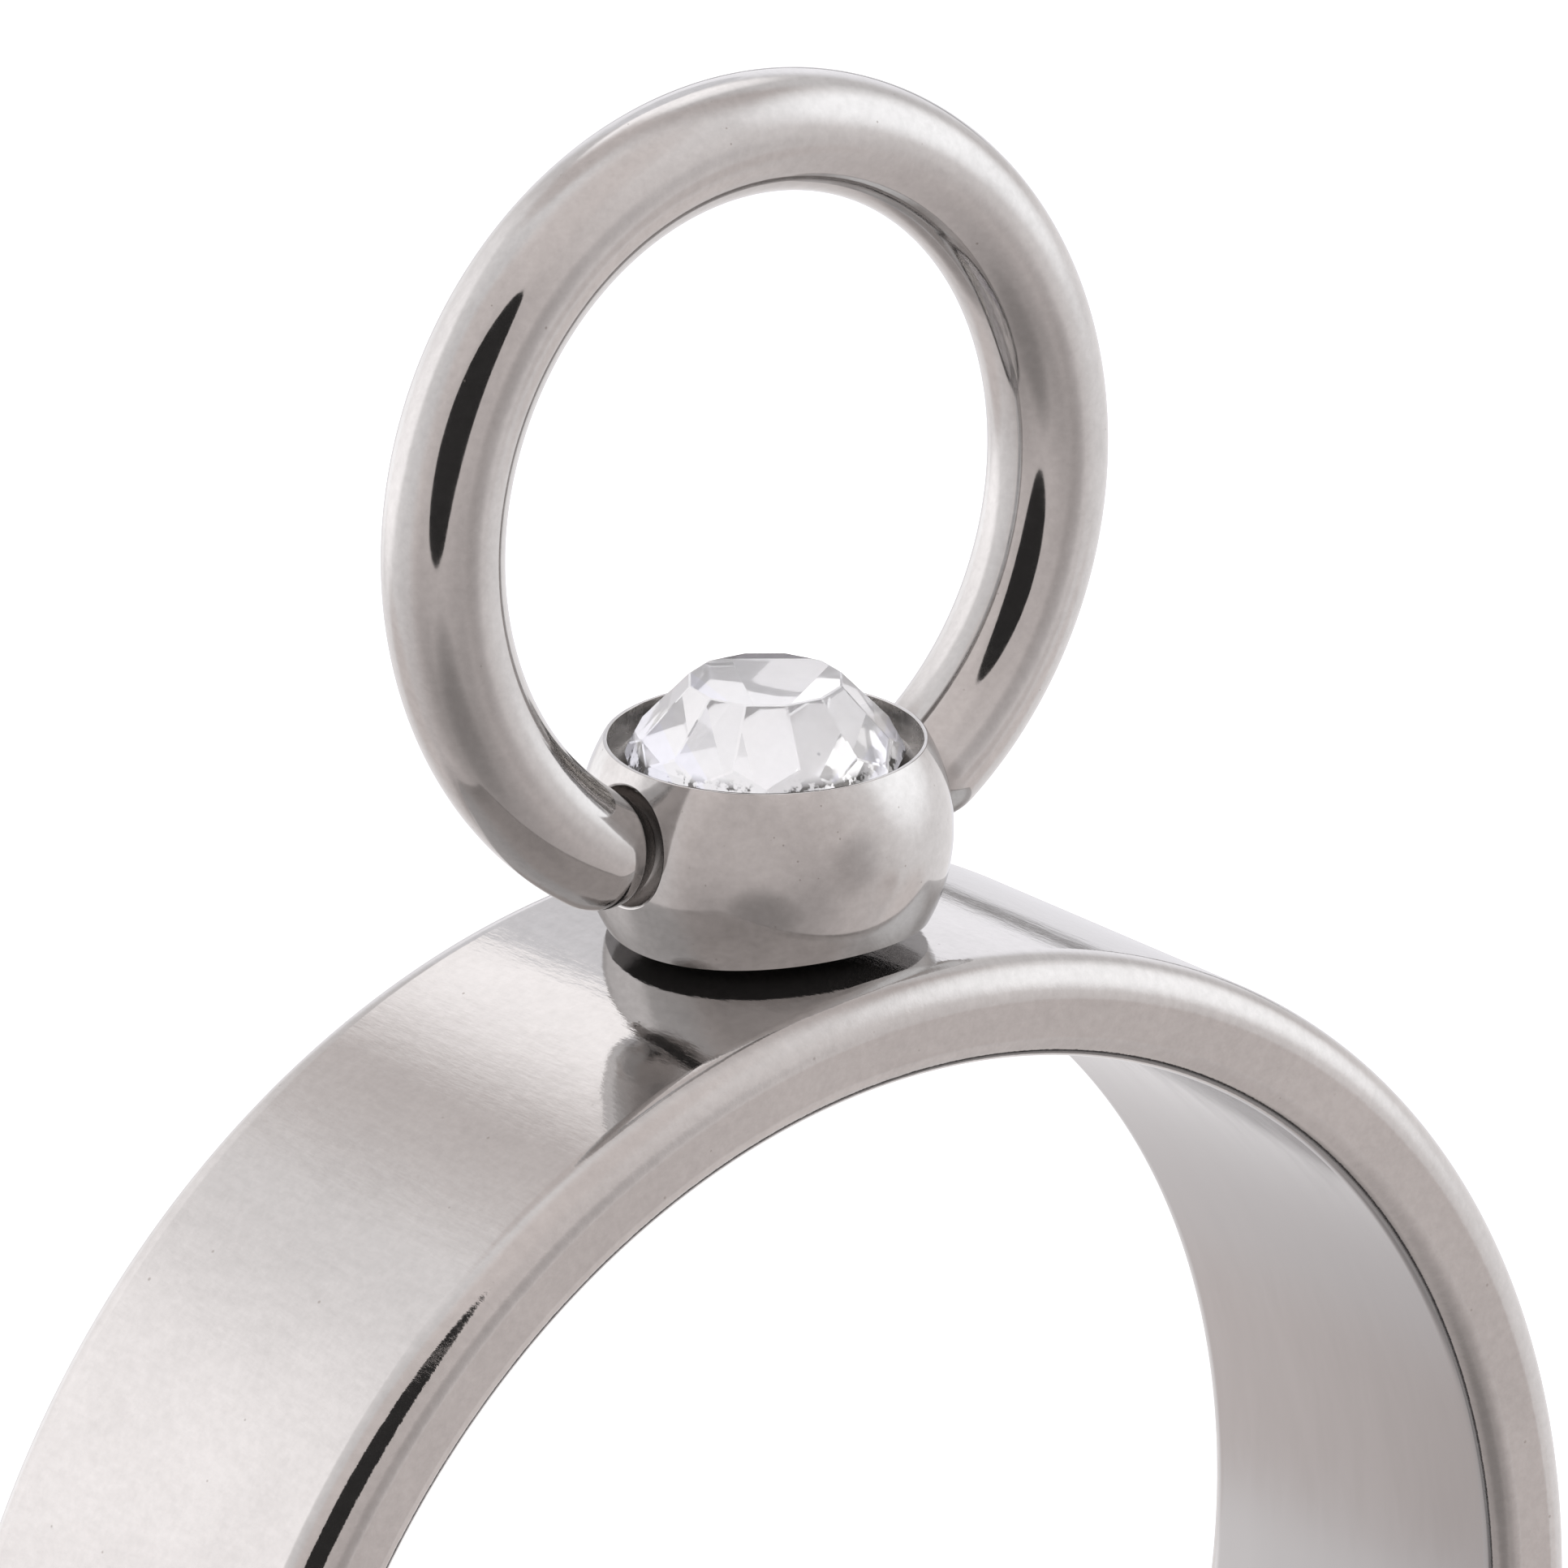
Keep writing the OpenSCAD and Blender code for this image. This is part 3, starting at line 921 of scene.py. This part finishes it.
def glassMaterial():
    # clear, with a faint haze and a few bubbles and specks under its facets
    look = glassLook
    material = bpy.data.materials.new("clearCrystal")
    material.use_nodes = True
    tree = material.node_tree
    shader = tree.nodes["Principled BSDF"]
    place = placeInMm(tree)
    haze = hazeNode(tree, place, look["cloud"], look["grain"])
    bubbles = speckNode(tree, place, look["bubbleScale"], look["bubbleShare"], look["bubbleSize"])
    clouded = mixColors(tree, stretchRange(tree, haze["Cloud"], *look["cloudSpan"]),
                        look["colorDark"], look["colorLight"])
    color = mixColors(tree, bubbles, clouded, look["bubbleColor"])
    height = dotWith(tree, place, (0, 1, 0))
    table = beadSize["lift"] + crystalSize["tableHeight"]
    onTable = mathNode(tree, "GREATER_THAN", height, table - 2 * near)
    # painted reflection: the table's far edge is darkened where light first enters it
    far = stretchRange(tree, dotWith(tree, place, look["sliverWay"]),
                       look["sliverFrom"], look["sliverTo"])
    path = tree.nodes.new("ShaderNodeLightPath")
    entering = mathNode(tree, "LESS_THAN", path.outputs["Transmission Depth"], 0.5)
    paintedSliver = mathNode(tree, "MULTIPLY", entering, mathNode(tree, "MULTIPLY", onTable, far))
    color = mixColors(tree, paintedSliver, color, look["sliverShadeColor"])
    blots = hazeNode(tree, place, 1.0, look["glueGrain"])["Grain"]
    low = stretchRange(tree, height, beadSize["lift"] + look["glueFrom"],
                       beadSize["lift"] + look["glueTo"])
    glue = mathNode(tree, "MULTIPLY", low, stretchRange(tree, blots, *look["glueSpan"]))
    color = mixColors(tree, glue, color, look["glueColor"])
    # painted shade: where the steel around it mirrors the stone, the stone is given a dim brown
    # colour
    mirroredShade = mathNode(tree, "MULTIPLY", entering,
                        mathNode(tree, "GREATER_THAN", path.outputs["Glossy Depth"], 0.5))
    color = mixColors(tree, mirroredShade, color, look["mirroredShade"])
    tree.links.new(color, shader.inputs["Base Color"])
    worn = stretchRange(tree, haze["Grain"], *look["grainSpan"], 0, look["roughHigh"])
    bubbled = mathNode(tree, "MULTIPLY", bubbles, look["bubbleRough"])
    tree.links.new(mathNode(tree, "ADD", worn, bubbled), shader.inputs["Roughness"])
    shader.inputs["IOR"].default_value = look["ior"]
    shader.inputs["Transmission Weight"].default_value = 1
    return material


foilLook = {
    "metallic": 0.46, "rough": 0.04, "hazeLow": 0.96,
    "cloud": 1.2, "grain": 6.0, "grainSpan": (0.35, 0.65),
    "tints": ((0.0, (0.985, 0.975, 1.0)), (0.35, (0.93, 0.92, 1.0)), (0.75, (0.98, 0.965, 0.93))),
}


def foilMaterial():
    # silvered back: each of its facets throws the light back in a tint of its own
    look = foilLook
    material = bpy.data.materials.new("silverFoil")
    material.use_nodes = True
    tree = material.node_tree
    shader = tree.nodes["Principled BSDF"]
    parts = tree.nodes.new("ShaderNodeSeparateXYZ")
    tree.links.new(placeInMm(tree), parts.inputs[0])
    around = mathNode(tree, "ARCTAN2", parts.outputs["X"], parts.outputs["Z"])
    around = mathNode(tree, "MULTIPLY", around, crystalSize["backFacets"] / math.tau)
    facet = mathNode(tree, "FLOOR", around)
    chance = tree.nodes.new("ShaderNodeTexWhiteNoise")
    chance.noise_dimensions = "1D"
    tree.links.new(facet, chance.inputs["W"])
    tint = tree.nodes.new("ShaderNodeValToRGB")
    tint.color_ramp.interpolation = "CONSTANT"
    for k, (start, color) in enumerate(look["tints"]):
        stop = tint.color_ramp.elements[k] if k < 2 else tint.color_ramp.elements.new(start)
        stop.position = start
        stop.color = (*color, 1)
    tree.links.new(chance.outputs["Value"], tint.inputs[0])
    haze = hazeNode(tree, placeInMm(tree), look["cloud"], look["grain"])
    grey = stretchRange(tree, haze["Grain"], *look["grainSpan"], look["hazeLow"], 1)
    shade = tree.nodes.new("ShaderNodeVectorMath")
    shade.operation = "SCALE"
    tree.links.new(tint.outputs["Color"], shade.inputs[0])
    tree.links.new(grey, shade.inputs["Scale"])
    tree.links.new(shade.outputs["Vector"], shader.inputs["Base Color"])
    shader.inputs["Metallic"].default_value = look["metallic"]
    shader.inputs["Roughness"].default_value = look["rough"]
    return material


makeCrystal(glassMaterial(), foilMaterial())
print("crystal made")
